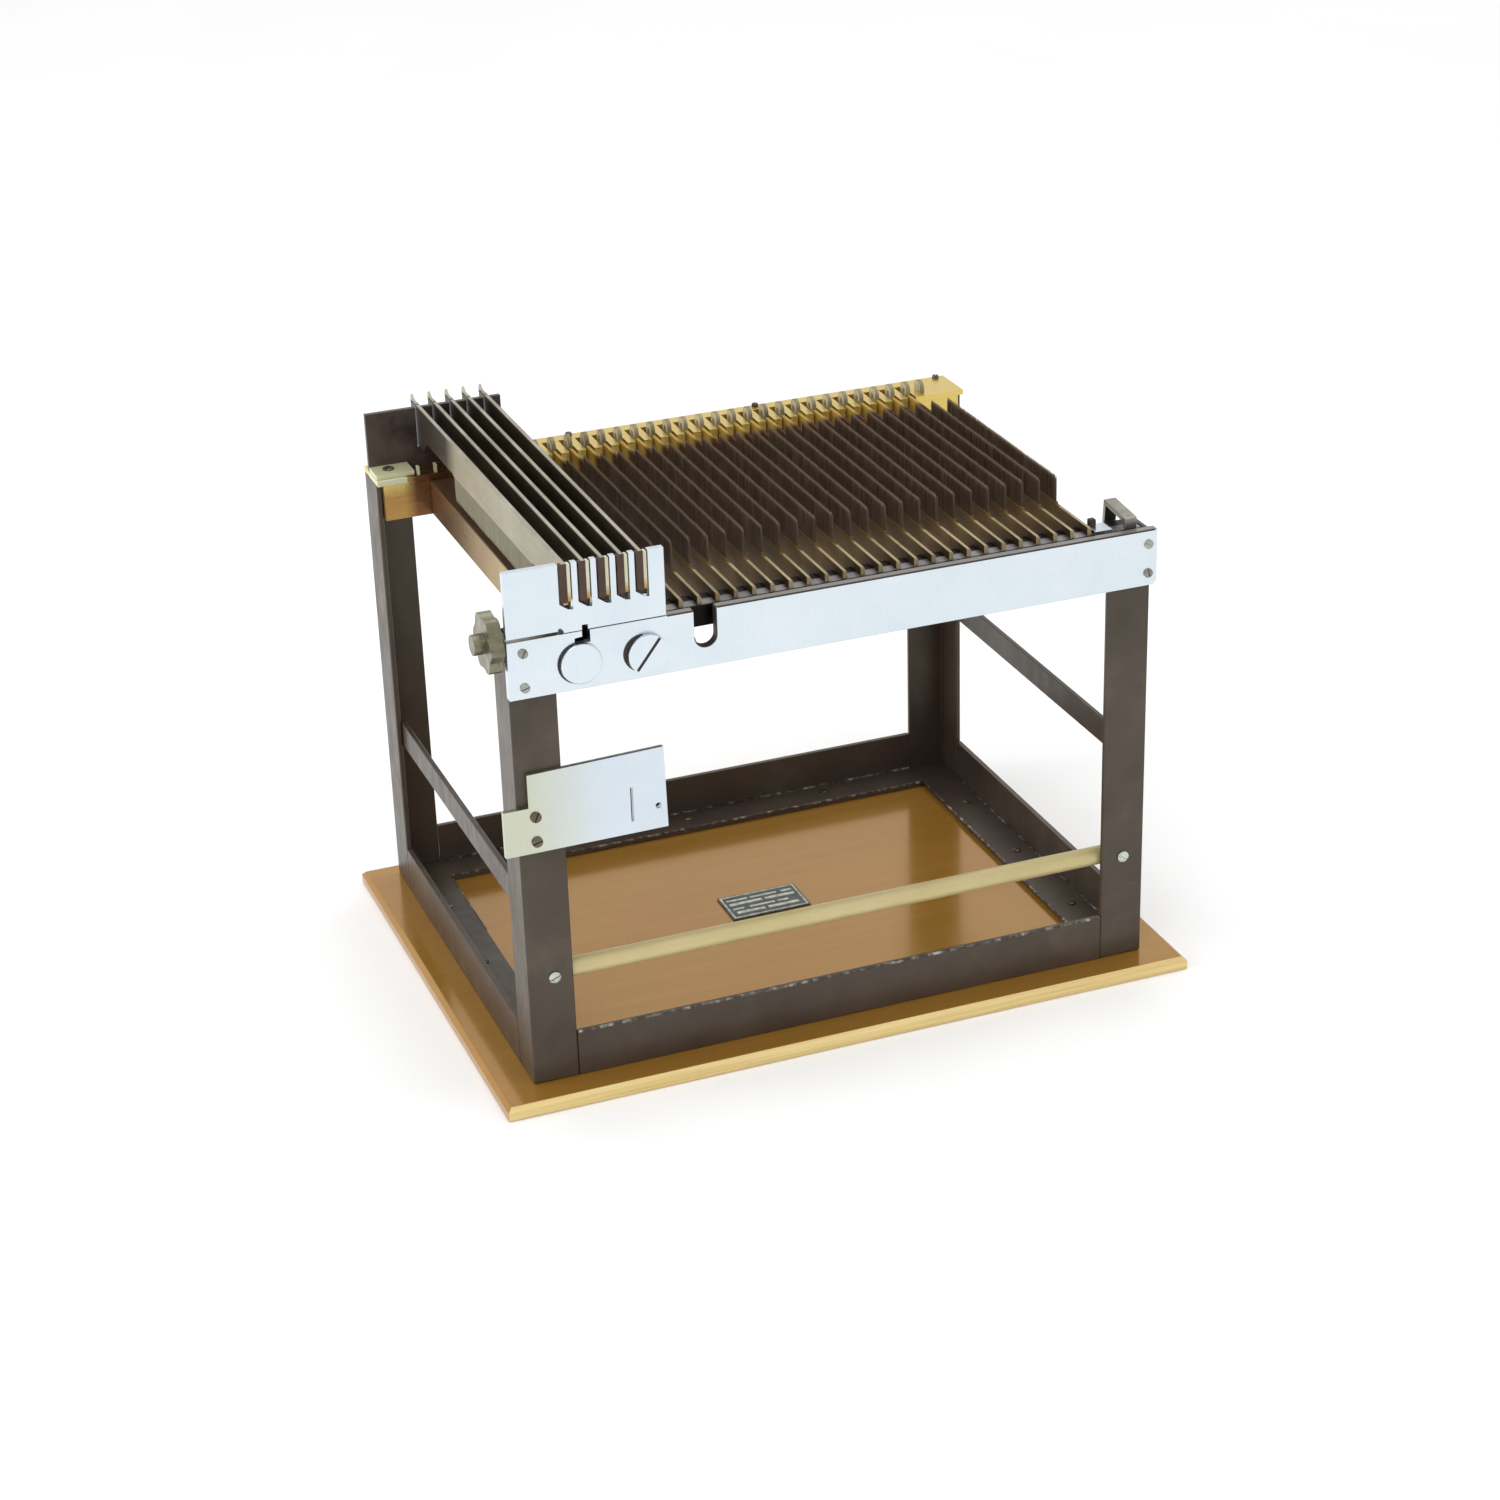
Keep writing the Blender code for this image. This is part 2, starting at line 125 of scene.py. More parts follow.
class Nodes:
    """Small helper for writing a material's node tree."""

    def __init__(self, name):
        self.mat = bpy.data.materials.new(name)
        self.mat.use_nodes = True
        self.tree = self.mat.node_tree
        self.shader = self.tree.nodes["Principled BSDF"]

    def add(self, kind, **values):
        node = self.tree.nodes.new(kind)
        for key, value in values.items():
            setattr(node, key, value)
        return node

    def link(self, a, b):
        self.tree.links.new(a, b)

    def set(self, **values):
        for key, value in values.items():
            self.shader.inputs[key.replace("_", " ")].default_value = value

    def coords(self, scale=(1.0, 1.0, 1.0)):
        source = self.add("ShaderNodeTexCoord")
        mapping = self.add("ShaderNodeMapping")
        mapping.inputs["Scale"].default_value = scale
        self.link(source.outputs["Object"], mapping.inputs["Vector"])
        return mapping.outputs["Vector"]

    def noise(self, vector, scale, detail=4.0, rough=0.55, distortion=0.0):
        node = self.add("ShaderNodeTexNoise")
        node.inputs["Scale"].default_value = scale
        node.inputs["Detail"].default_value = detail
        node.inputs["Roughness"].default_value = rough
        node.inputs["Distortion"].default_value = distortion
        self.link(vector, node.inputs["Vector"])
        return node.outputs["Fac"]

    def ramp(self, fac, stops):
        node = self.add("ShaderNodeValToRGB")
        ramp = node.color_ramp
        while len(ramp.elements) < len(stops):
            ramp.elements.new(0.5)
        for element, (pos, colour) in zip(ramp.elements, stops):
            element.position = pos
            element.color = colour
        self.link(fac, node.inputs["Fac"])
        return node.outputs["Color"]

    def spread(self, fac, low, high, from_low=0.3, from_high=0.7):
        """Map `fac` from its own range to the range low..high."""
        node = self.add("ShaderNodeMapRange")
        node.inputs["From Min"].default_value = from_low
        node.inputs["From Max"].default_value = from_high
        node.inputs["To Min"].default_value = low
        node.inputs["To Max"].default_value = high
        self.link(fac, node.inputs["Value"])
        return node.outputs["Result"]

    def along(self, axis, start, end):
        """0 up to `start` and 1 from `end` on, in stand millimetres along an axis."""
        source = self.add("ShaderNodeTexCoord")
        split = self.add("ShaderNodeSeparateXYZ")
        self.link(source.outputs["Object"], split.inputs["Vector"])
        origin = {"X": CORNER.x, "Y": CORNER.y, "Z": 0.0}[axis]
        ends = (origin + start * MM, origin + end * MM)
        return self.spread(split.outputs[axis], 0.0, 1.0, *ends)

    def mix(self, fac, a, b, blend="MIX"):
        node = self.add("ShaderNodeMix", data_type="RGBA", blend_type=blend)
        for value, socket in ((fac, 0), (a, 6), (b, 7)):
            if hasattr(value, "links"):
                self.link(value, node.inputs[socket])
            else:
                node.inputs[socket].default_value = value
        return node.outputs[2]

    def stain_and_shade(self, base, shading):
        """Lay (axis, start, end, colour) changes over a base colour, one after another: real
        colour changes and painted light and shade.
        """
        for axis, start, end, colour in shading:
            base = self.mix(self.along(axis, start, end), base, colour)
        return base

    def colour(self, output):
        self.link(output, self.shader.inputs["Base Color"])

    def rough(self, output):
        self.link(output, self.shader.inputs["Roughness"])

    def bump(self, height, strength, distance):
        node = self.add("ShaderNodeBump")
        node.inputs["Strength"].default_value = strength
        node.inputs["Distance"].default_value = distance
        self.link(height, node.inputs["Height"])
        self.link(node.outputs["Normal"], self.shader.inputs["Normal"])


def metal(name, light, dark, rough, brush, brush_bump, spots=None,
          shading=(), metallic=1.0, sheen=0.08, gloss=0.5):
    """Brushed or worn metal: fine brush lines, faint cloudiness and a few dull spots.

    `brush` is the brush noise's scale along x, y and z, and `sheen` how much the
    roughness varies with it. `shading` goes to Nodes.stain_and_shade; most uses paint light
    and shade along a part.
    """
    n = Nodes(name)
    n.set(Metallic=metallic, Specular_IOR_Level=gloss)
    lines = n.noise(n.coords(brush), 1.0, 3.0, 0.6)
    cloud = n.noise(n.coords(), 26.0, 5.0, 0.6)
    base = n.ramp(cloud, [(0.36, dark), (0.62, light)])
    if spots is not None:
        speck = n.noise(n.coords(), 210.0, 2.0, 0.5)
        base = n.mix(n.spread(speck, 0.0, 0.55, 0.64, 0.74), base, spots)
    n.colour(n.stain_and_shade(base, shading))
    n.rough(n.spread(lines, rough - sheen, rough + sheen))
    n.bump(lines, brush_bump, 0.00008)
    return n.mat


def paint(name, dark, light, cloud_scale, rough, metallic=0.0, shading=()):
    """Plain mottled finish for small dark or pale parts."""
    n = Nodes(name)
    cloud = n.noise(n.coords(), cloud_scale, 4.0, 0.6)
    base = n.ramp(cloud, [(0.35, dark), (0.65, light)])
    n.colour(n.stain_and_shade(base, shading))
    n.rough(n.spread(cloud, rough, rough + 0.14))
    n.set(Metallic=metallic)
    return n.mat


def varnished_wood():
    """Honey-coloured board: faint long grain along x under a clear gloss coat."""
    n = Nodes("varnished_wood")
    grain = n.noise(n.coords((6.0, 150.0, 150.0)), 1.0, 6.0, 0.62, 0.4)
    wide = n.noise(n.coords((3.0, 9.0, 9.0)), 1.0, 3.0, 0.5, 0.8)
    base = n.ramp(grain, [(0.25, srgb(165, 121, 50)), (0.52, srgb(170, 126, 54)),
                          (0.80, srgb(175, 131, 60))])
    tone = n.ramp(wide, [(0.35, srgb(244, 232, 212)), (0.65, srgb(255, 252, 244))])
    n.colour(n.mix(0.6, base, tone, "MULTIPLY"))
    n.rough(n.spread(grain, 0.13, 0.20))
    n.set(Metallic=0.35, Coat_Weight=0.2, Coat_Roughness=0.05, Coat_IOR=1.5)
    n.bump(grain, 0.02, 0.00015)
    return n.mat


def sawn_edge():
    """Pale end of the board along its front rim."""
    n = Nodes("board_edge")
    grain = n.noise(n.coords((9.0, 200.0, 500.0)), 1.0, 5.0, 0.6)
    n.colour(n.ramp(grain, [(0.3, srgb(204, 174, 106)), (0.55, srgb(220, 194, 128)),
                            (0.75, srgb(230, 208, 146))]))
    n.rough(n.spread(grain, 0.35, 0.5))
    n.set(Coat_Weight=0.5, Coat_Roughness=0.1)
    n.bump(grain, 0.08, 0.0002)
    return n.mat


def iron_paint():
    """Dark brown-black brushed paint with rubbed patches and a low sheen."""
    n = Nodes("iron_paint")
    cloud = n.noise(n.coords(), 17.0, 6.0, 0.62)
    fine = n.noise(n.coords((160.0, 160.0, 60.0)), 1.0, 3.0, 0.55)
    base = n.ramp(cloud, [(0.34, srgb(56, 45, 40)), (0.56, srgb(68, 57, 50)),
                          (0.74, srgb(83, 73, 63))])
    rubbed = n.noise(n.coords(), 90.0, 4.0, 0.7)
    mask = n.spread(rubbed, 0.0, 0.4, 0.68, 0.76)
    n.colour(n.mix(mask, base, srgb(120, 110, 96)))
    n.rough(n.spread(fine, 0.30, 0.44))
    n.set(Specular_IOR_Level=0.5, Specular_Tint=srgb(244, 246, 226))
    n.bump(fine, 0.16, 0.00018)
    return n.mat


def edge_wear():
    """Broken line of bare metal and weld spatter on dark paint."""
    n = Nodes("edge_wear")
    broken = n.noise(n.coords((230.0, 230.0, 80.0)), 1.0, 3.0, 0.65)
    n.colour(n.ramp(broken, [(0.45, srgb(48, 40, 34)), (0.56, srgb(104, 98, 86)),
                             (0.68, srgb(176, 172, 160))]))
    n.rough(n.spread(broken, 0.35, 0.6))
    n.bump(broken, 0.6, 0.0006)
    return n.mat


def needle_steel(name, dark, mid, light, tip):
    """Closely set needles: streaked steel, with a painted highlight colour near a lower comb's
    tips.
    """
    n = Nodes(name)
    n.set(Metallic=0.25)
    streak = n.noise(n.coords((300.0, 1400.0, 30.0)), 1.0, 2.0, 0.5)
    patch = n.noise(n.coords((30.0, 26.0, 60.0)), 1.0, 3.0, 0.5)
    base = n.ramp(streak, [(0.30, dark), (0.55, mid), (0.78, light)])
    base = n.mix(n.spread(patch, 0.0, 0.4), base, dark)
    n.colour(n.stain_and_shade(base, (("Z", FIELD_TOP - 2.4, FIELD_TOP - 0.9, tip),)))
    n.rough(n.spread(streak, 0.36, 0.52))
    return n.mat


def build_materials():
    # brush patterns: noise scale along x, y and z
    polished = (700.0, 40.0, 40.0)
    cast = (200.0, 200.0, 200.0)
    turned = (300.0, 300.0, 300.0)
    drawn = (60.0, 30.0, 700.0)
    # colour changes along a part, most of them painted light and shade: axis, start, end,
    # colour
    # painted shade on the lower comb arms: darker towards the front and again behind the
    # needle bed, with a painted reflection of the brass rail, gold from y 223 on
    arm_shade_and_reflection = (("Y", 36.0, 16.0, srgb(56, 42, 24)), ("Y", 176.0, 190.0, srgb(64, 38, 28)),
                  ("Y", 223.0, 231.0, srgb(168, 138, 66)))
    # painted shade on the rear rail: golden brown towards the bottom of its face, a
    # reddish-brown band of shadow and reflection from x 15 to 22, gold again from x 41
    brass_painted_shade = (("Z", 262.0, 255.0, srgb(178, 140, 78)),
                    ("X", 15.0, 22.0, srgb(116, 80, 50)),
                    ("X", 41.0, 46.0, srgb(214, 188, 108)))
    # painted shade on the comb guide: near-black from y 12 back and dark along its front edge
    guide_painted_shade = (("Y", 11.2, 12.4, srgb(20, 16, 13)), ("Y", 5.4, 4.6, srgb(30, 26, 23)))
    # painted shade on the side bar: darker towards the rear and on its top face
    tan_painted_shade = (("Y", 100.0, 210.0, srgb(98, 68, 46)), ("Z", 261.2, 261.8, srgb(92, 70, 48)))
    return {
        "wood": varnished_wood(),
        "board_edge": sawn_edge(),
        "iron": iron_paint(),
        "wear": edge_wear(),
        # stand
        "steel": metal("polished_steel", srgb(214, 223, 229), srgb(208, 218, 226), 0.27,
                       polished, 0.0, sheen=0.01),
        # painted reflection: the front rail's top face in a duller grey than its polished
        # front
        "rail": metal("rail_steel", srgb(214, 223, 229), srgb(208, 218, 226), 0.27,
                      polished, 0.0, sheen=0.01,
                      shading=(("Z", 263.6, 263.9, srgb(146, 142, 138)),)),
        "catch": metal("catch_steel", srgb(208, 217, 225), srgb(202, 212, 221), 0.28,
                       polished, 0.0, sheen=0.01,
                       shading=(("X", 46.0, 4.0, srgb(194, 197, 178)),)),
        "steel_dull": metal("dull_steel", srgb(186, 186, 176), srgb(140, 138, 126), 0.34,
                            cast, 0.05, srgb(90, 84, 70)),
        "guide": metal("guide_steel", srgb(168, 162, 162), srgb(138, 132, 130), 0.36,
                       cast, 0.05, srgb(100, 92, 84), guide_painted_shade),
        "brass": metal("rail_brass", srgb(226, 204, 128), srgb(206, 180, 100), 0.30,
                       (60.0, 500.0, 500.0), 0.03, srgb(166, 140, 66), brass_painted_shade,
                       metallic=0.8),
        "tan": metal("side_bar_tan", srgb(178, 154, 104), srgb(160, 136, 90), 0.34,
                     drawn, 0.03, srgb(134, 106, 68), tan_painted_shade, metallic=0.45),
        "cream": metal("cream_cap", srgb(216, 216, 184), srgb(196, 194, 158), 0.34,
                       cast, 0.04, srgb(150, 146, 112), metallic=0.4),
        "rod": metal("pale_rod", srgb(198, 184, 136), srgb(190, 175, 124), 0.42,
                     (30.0, 300.0, 300.0), 0.02, metallic=0.3),
        "knob": metal("knob_metal", srgb(150, 148, 126), srgb(84, 78, 62), 0.34,
                      (260.0, 260.0, 260.0), 0.12, srgb(52, 44, 32)),
        "rest_dark": paint("rest_dark", srgb(50, 40, 36), srgb(82, 70, 62), 44.0, 0.3, 0.3,
                           (("Y", 255.4, 255.0, srgb(206, 206, 166)),)),
        # fixings and small marks
        "screw": metal("screw_steel", srgb(206, 210, 204), srgb(170, 172, 164), 0.30,
                       turned, 0.05, srgb(96, 90, 78)),
        "screw_grey": metal("screw_grey", srgb(168, 170, 162), srgb(120, 120, 112), 0.36,
                            turned, 0.06, srgb(84, 78, 68)),
        "screw_dark": metal("screw_dark", srgb(118, 110, 92), srgb(80, 70, 54), 0.4,
                            turned, 0.05, srgb(50, 42, 34), metallic=0.8),
        "plate": paint("plate_field", srgb(44, 50, 44), srgb(84, 92, 82), 160.0, 0.34),
        "marks": paint("plate_marks", srgb(150, 154, 140), srgb(214, 216, 204), 300.0, 0.3,
                       0.4),
        # the two dark paints below are painted shade laid into slots, gaps and recesses; the
        # second also colours the small stop block and the rest pin
        "slot_painted_shadow": paint("slot_painted_shadow", srgb(52, 32, 24), srgb(74, 48, 36), 90.0, 0.5),
        "gap": paint("dark_gap", srgb(34, 27, 23), srgb(54, 42, 36), 200.0, 0.5),
        # lower combs
        "bar": metal("comb_bar", srgb(118, 94, 56), srgb(96, 74, 42), 0.55,
                     (60.0, 40.0, 700.0), 0.04, srgb(74, 52, 28), arm_shade_and_reflection,
                     metallic=0.0, gloss=0.08),
        "bar_edge": metal("comb_edge", srgb(172, 158, 124), srgb(140, 124, 92), 0.45,
                          (60.0, 40.0, 300.0), 0.03, srgb(110, 94, 64),
                          metallic=0.1, gloss=0.3),
        "lug": metal("comb_lug", srgb(208, 204, 180), srgb(178, 172, 146), 0.34,
                     cast, 0.05, srgb(140, 130, 104), metallic=0.2),
        "lug_rim": metal("comb_lug_rim", srgb(148, 138, 106), srgb(116, 104, 76), 0.4,
                         cast, 0.05, metallic=0.3),
        "needle": needle_steel("needle_steel", srgb(66, 50, 36), srgb(96, 76, 58),
                               srgb(128, 106, 84), srgb(128, 112, 94)),
        # upper combs
        # painted light: lit and shaded copies of the upper comb materials; the lit bar also
        # turns dark from y 180 towards the rear
        "upper": metal("upper_comb_bar", srgb(158, 151, 129), srgb(140, 132, 110), 0.38,
                       drawn, 0.03, srgb(124, 114, 90),
                       (("Y", 180.0, 198.0, srgb(54, 44, 36)),), metallic=0.2),
        "upper_edge": metal("upper_comb_edge", srgb(168, 164, 146), srgb(136, 130, 112), 0.36,
                            drawn, 0.03, metallic=0.3),
        "upper_painted_shade": metal("upper_comb_side", srgb(62, 54, 38), srgb(44, 37, 26), 0.42,
                            drawn, 0.04, metallic=0.4),
        "handle": metal("upper_comb_handle", srgb(206, 204, 178), srgb(184, 180, 150), 0.36,
                        drawn, 0.03, shading=(("Z", 286.0, 281.5, srgb(172, 134, 62)),),
                        metallic=0.2),
        "needle_painted_lit": needle_steel("needle_painted_lit", srgb(144, 138, 116), srgb(162, 155, 134),
                                    srgb(178, 171, 152), srgb(160, 154, 134)),
        "needle_painted_shade": needle_steel("needle_painted_shade", srgb(40, 33, 22), srgb(58, 50, 34),
                                    srgb(74, 64, 46), srgb(60, 52, 38)),
        "floor": paint("studio_floor", (0.96, 0.96, 0.96, 1), (0.98, 0.98, 0.98, 1), 3.0,
                       0.75),
    }


M = build_materials()


# ---------------------------------------------------------------- outlines
def signed_area(outline):
    """Twice the outline's area, positive when it runs anticlockwise."""
    following = outline[1:] + outline[:1]
    return sum(p[0] * q[1] - q[0] * p[1] for p, q in zip(outline, following))


def arc(centre, radius, start, stop, steps):
    points = []
    for i in range(steps + 1):
        a = start + (stop - start) * i / steps
        points.append((centre[0] + radius * math.cos(a), centre[1] + radius * math.sin(a)))
    return points


def inset_outline(outline, amount):
    """Move each point of a closed outline inwards along its corner's bisector."""
    count = len(outline)
    turn = 1.0 if signed_area(outline) > 0 else -1.0
    out = []
    for i in range(count):
        before, here, after = (Vector(outline[k % count]) for k in (i - 1, i, i + 1))
        d0, d1 = (here - before).normalized(), (after - here).normalized()
        n0 = Vector((-d0.y, d0.x)) * turn
        n1 = Vector((-d1.y, d1.x)) * turn
        bisector = n0 + n1
        bisector = bisector / max(bisector.length, 0.3)
        scale = amount / max(0.35, bisector.dot(n0))
        out.append((here.x + bisector.x * scale, here.y + bisector.y * scale))
    return out


# ---------------------------------------------------------------- mesh helpers
# the two directions across each axis, as vector indices in right-handed order
ACROSS = {"X": (1, 2), "Y": (2, 0), "Z": (0, 1)}


class Solid:
    """Collects closed shapes in stand millimetres and turns them into one object."""

    def __init__(self, name):
        self.name = name
        self.verts = []
        self.faces = []
        self.slots = []
        self.mats = []
        self.smooth = []

    def put(self, verts, faces, mat, smooth=False):
        if mat not in self.mats:
            self.mats.append(mat)
        base = len(self.verts)
        self.verts += [tuple(v) for v in verts]
        for face in faces:
            self.faces.append([base + i for i in face])
            self.slots.append(self.mats.index(mat))
            self.smooth.append(smooth)

    def prism(self, outline, axis, low, high, mat, bevel=0.0):
        """A closed outline, in the two axes left after `axis`, with chamfered rims."""
        order = {"X": (1, 2, 0), "Y": (0, 2, 1), "Z": (0, 1, 2)}[axis]
        if bevel > 0.0:
            inner = inset_outline(outline, bevel)
            steps = [(inner, low), (outline, low + bevel), (outline, high - bevel),
                     (inner, high)]
        else:
            steps = [(outline, low), (outline, high)]
        verts = []
        for ring, depth in steps:
            for u, v in ring:
                point = [0.0, 0.0, 0.0]
                point[order[0]], point[order[1]], point[order[2]] = u, v, depth
                verts.append(point)
        count = len(outline)
        last = count * (len(steps) - 1)
        faces = [list(range(count))[::-1], [last + i for i in range(count)]]
        for a in range(0, last, count):
            b = a + count
            for i in range(count):
                j = (i + 1) % count
                faces.append([a + i, a + j, b + j, b + i])
        if (signed_area(outline) > 0) == (axis == "Y"):
            faces = [face[::-1] for face in faces]
        self.put(verts, faces, mat)

    def box(self, x, y, z, mat, bevel=0.0):
        corners = [(x[0], y[0]), (x[1], y[0]), (x[1], y[1]), (x[0], y[1])]
        self.prism(corners, "Z", z[0], z[1], mat, bevel)

    def lathe(self, profile, axis, centre, mat, segments=24, smooth=True):
        """Turn (radius, depth) points about an axis through `centre`."""
        u, v = ACROSS[axis]
        w = 3 - u - v
        verts = []
        for radius, depth in profile:
            for i in range(segments):
                a = 2.0 * math.pi * i / segments
                point = list(centre)
                point[u] += radius * math.cos(a)
                point[v] += radius * math.sin(a)
                point[w] += depth
                verts.append(point)
        last = (len(profile) - 1) * segments
        faces = [list(range(segments))[::-1], [last + i for i in range(segments)]]
        for a in range(0, last, segments):
            b = a + segments
            for i in range(segments):
                j = (i + 1) % segments
                faces.append([a + i, a + j, b + j, b + i])
        self.put(verts, faces, mat, smooth)

    def make(self, body, replaces=()):
        mesh = bpy.data.meshes.new(self.name)
        mesh.from_pydata([at(*v) for v in self.verts], [], self.faces)
        for mat in self.mats:
            mesh.materials.append(mat)
        mesh.polygons.foreach_set("material_index", self.slots)
        mesh.polygons.foreach_set("use_smooth", self.smooth)
        bm = bmesh.new()
        bm.from_mesh(mesh)
        bmesh.ops.recalc_face_normals(bm, faces=bm.faces)
        bm.to_mesh(mesh)
        bm.free()
        mesh.set_sharp_from_angle(angle=math.radians(40.0))
        obj = bpy.data.objects.new(self.name, mesh)
        bpy.context.scene.collection.objects.link(obj)
        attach(obj, body)
        if replaces:
            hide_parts(*replaces)


def dress(node, mat, edge):
    """Give a carried-over CAD node its material and, for edge > 0, softly rounded edges."""
    obj = nodes[node]
    if not obj.material_slots:
        obj.data.materials.append(mat)
    for slot in obj.material_slots:
        slot.material = mat
    weld = obj.modifiers.new("weld", "WELD")
    weld.merge_threshold = 0.00001
    if edge > 0.0:
        bevel = obj.modifiers.new("edge", "BEVEL")
        bevel.width = edge * MM
        bevel.segments = 2
        bevel.limit_method = "ANGLE"
        bevel.angle_limit = math.radians(35.0)
        bevel.harden_normals = True


# ---------------------------------------------------------------- combs
def needle_row(solid, x, root, tip, mat):
    """A dense, staggered row of tapered needles standing on, or hanging from, a comb bar."""
    y0, y1 = FIELD[0] + 0.3, FIELD[1] - 0.3
    count = int((y1 - y0) / NEEDLE_STEP)
    taper = ((0.0, NEEDLE_RADIUS), (0.80, NEEDLE_RADIUS * 0.95), (0.95, NEEDLE_RADIUS * 0.6))
    lean = 0.0
    verts, faces = [], []
    for i in range(count):
        y = y0 + (i + 0.5) * (y1 - y0) / count
        lean += rng.uniform(-0.05, 0.05)
        lean *= 0.94
        side = NEEDLE_STAGGER if i % 2 else -NEEDLE_STAGGER
        short = rng.uniform(0.0, 0.3) + (0.8 if rng.random() < 0.012 else 0.0)
        if y - FIELD[0] < FIELD_CHAMFER:
            short += FIELD_CHAMFER - (y - FIELD[0])
        point = tip - math.copysign(short, tip - root)
        base = len(verts)
        for share, radius in taper:
            z = root + (point - root) * share
            bend = lean * share * share + side
            for k in range(4):
                a = math.pi * (0.25 + 0.5 * k)
                verts.append((x + bend + radius * math.cos(a),
                              y + radius * 1.05 * math.sin(a), z))
        verts.append((x + lean + side, y, point))
        for k in range(4):
            j = (k + 1) % 4
            for ring in (0, 4):
                faces.append([base + ring + k, base + ring + j,
                              base + ring + 4 + j, base + ring + 4 + k])
            faces.append([base + 8 + k, base + 8 + j, base + 12])
        faces.append([base + 3, base + 2, base + 1, base])
    solid.put(verts, faces, mat, True)


def lower_outline():
    """Arm of a lower comb, seen from the side, in y and z."""
    front, back = ARM_Y
    under, top = BAR_Z
    return [(front, under + 1.2), (front + 3.0, under), (226.0, under),
            (239.0, HINGE_UNDER), (back - 2.0, HINGE_UNDER), (back, HINGE_UNDER + 2.0),
            (back, top - 3.0), (back - 1.5, top), (LUG_Y[0], top), (190.0, top), (44.0, top),
            (front + 1.0, top), (front, top - 1.0)]


def lug_outline():
    """Rounded lug that stands up from the hinge end of a lower comb, in y and z."""
    radius, foot = 0.5 * (LUG_Y[1] - LUG_Y[0]), 259.0
    middle = (LUG_Y[0] + radius, LUG_TOP - radius)
    return [(LUG_Y[0], foot), (LUG_Y[1], foot)] + arc(middle, radius, 0.0, math.pi, 12)


def hinge_lug(solid, x):
    """A lower comb's hinge lug: pale cheek with a darker rim, painted shade along its edges.
    """
    solid.prism(lug_outline(), "X", x - 1.15, x + 1.15, M["lug_rim"], 0.1)
    solid.prism(inset_outline(lug_outline(), 0.7), "X", x - 1.35, x + 1.35, M["lug"], 0.15)


def middle_x(node):
    return 0.5 * sum(spans(node)[0])


def build_lower_comb(number):
    node = "lower_comb_%02d" % number
    x = middle_x(node)
    front, top = ARM_Y[0], BAR_Z[1]
    solid = Solid("comb_lower_%02d" % number)
    solid.prism(lower_outline(), "X", x - 1.0, x + 1.0, M["bar"], 0.22)
    # painted highlight: cream strip along the arm's top edge in front of the needle bed, and
    # on its end face
    solid.box((x - 0.80, x + 0.80), (front + 0.4, FIELD[0] - 4.0), (top - 0.5, top + 0.15),
              M["bar_edge"], 0.1)
    solid.box((x - 1.05, x + 1.05), (front - 0.3, front + 0.2), (BAR_Z[0] + 3.0, top - 0.3),
              M["bar_edge"], 0.1)
    # soldered needle bed with its needles
    solid.box((x - 0.95, x + 0.95), FIELD, (top - 0.8, top + 1.2), M["bar"], 0.3)
    needle_row(solid, x, top + 0.6, FIELD_TOP, M["needle"])
    hinge_lug(solid, x)
    rivet = (x, 0.5 * (LUG_Y[0] + LUG_Y[1]), LUG_TOP - 5.0)
    solid.lathe([(1.5, -1.5), (1.5, 1.5)], "X", rivet, M["lug_rim"], 16, False)
    solid.make("lower_body_%02d" % number, (node,))


def upper_outline():
    """Arm of an upper comb, seen from the side, in y and z."""
    low_front, low_back, back = 278.7, 276.0, 267.0
    return [(UPPER_FRONT, low_front), (14.0, low_front), (20.0, UPPER_UNDER),
            (238.0, UPPER_UNDER), (246.0, low_back), (back, low_back),
            (back, UPPER_TOP - 0.4), (253.0, UPPER_TOP), (UPPER_FRONT, UPPER_TOP)]


def horn_outline():
    """Thin horn curving up at an upper comb's far end, in y and z."""
    return [(252.0, 300.0), (262.0, 299.6), (266.0, 298.0), (HORN_BACK, 298.4),
            (HORN_BACK, 300.4), (HORN_BACK - 1.4, HORN_TOP), (265.8, 301.6), (262.0, 300.6)]


def build_upper_comb(number):
    node = "upper_comb_%d" % number
    x = middle_x(node)
    # painted light: only the outermost flank gets the bright lit copies of the bar and needle
    # materials; the others, which face each other in shade, get the dark painted-shade copies
    bar, needles = M["upper_painted_shade"], M["needle_painted_shade"]
    if number == 1:
        bar, needles = M["upper"], M["needle_painted_lit"]
    solid = Solid("comb_upper_%d" % number)
    solid.prism(upper_outline(), "X", x - 1.3, x + 1.3, bar, 0.25)
    # painted highlight: paler strip along the bar's top edge
    solid.box((x - 1.0, x + 0.8), (UPPER_FRONT + 0.1, 256.0),
              (UPPER_TOP - 0.4, UPPER_TOP + 0.2), M["upper_edge"], 0.1)
    solid.box((x - 1.0, x + 1.0), FIELD, (UPPER_UNDER - 1.2, UPPER_UNDER + 0.6), needles, 0.3)
    needle_row(solid, x, UPPER_UNDER - 0.6, 266.8, needles)
    solid.prism(horn_outline(), "X", x - 0.7, x + 0.7, M["upper_edge"], 0.1)
    # handle block seen in the right half of the rest slot; the left half gets a dark box of
    # painted shadow for the gap beside the comb
    solid.box((x + 1.3, x + 3.0), (UPPER_FRONT - 0.1, -1.6), (280.2, UPPER_TOP - 0.2),
              M["handle"], 0.25)
    solid.box((x - 2.6, x + 1.2), (UPPER_FRONT - 0.3, -2.0), (279.9, UPPER_TOP - 0.2),
              M["slot_painted_shadow"])
    solid.make("upper_body_%d" % number, (node,))


for index in range(LOWER_COUNT):
    build_lower_comb(index + 1)
for index in range(UPPER_COUNT):
    build_upper_comb(index + 1)

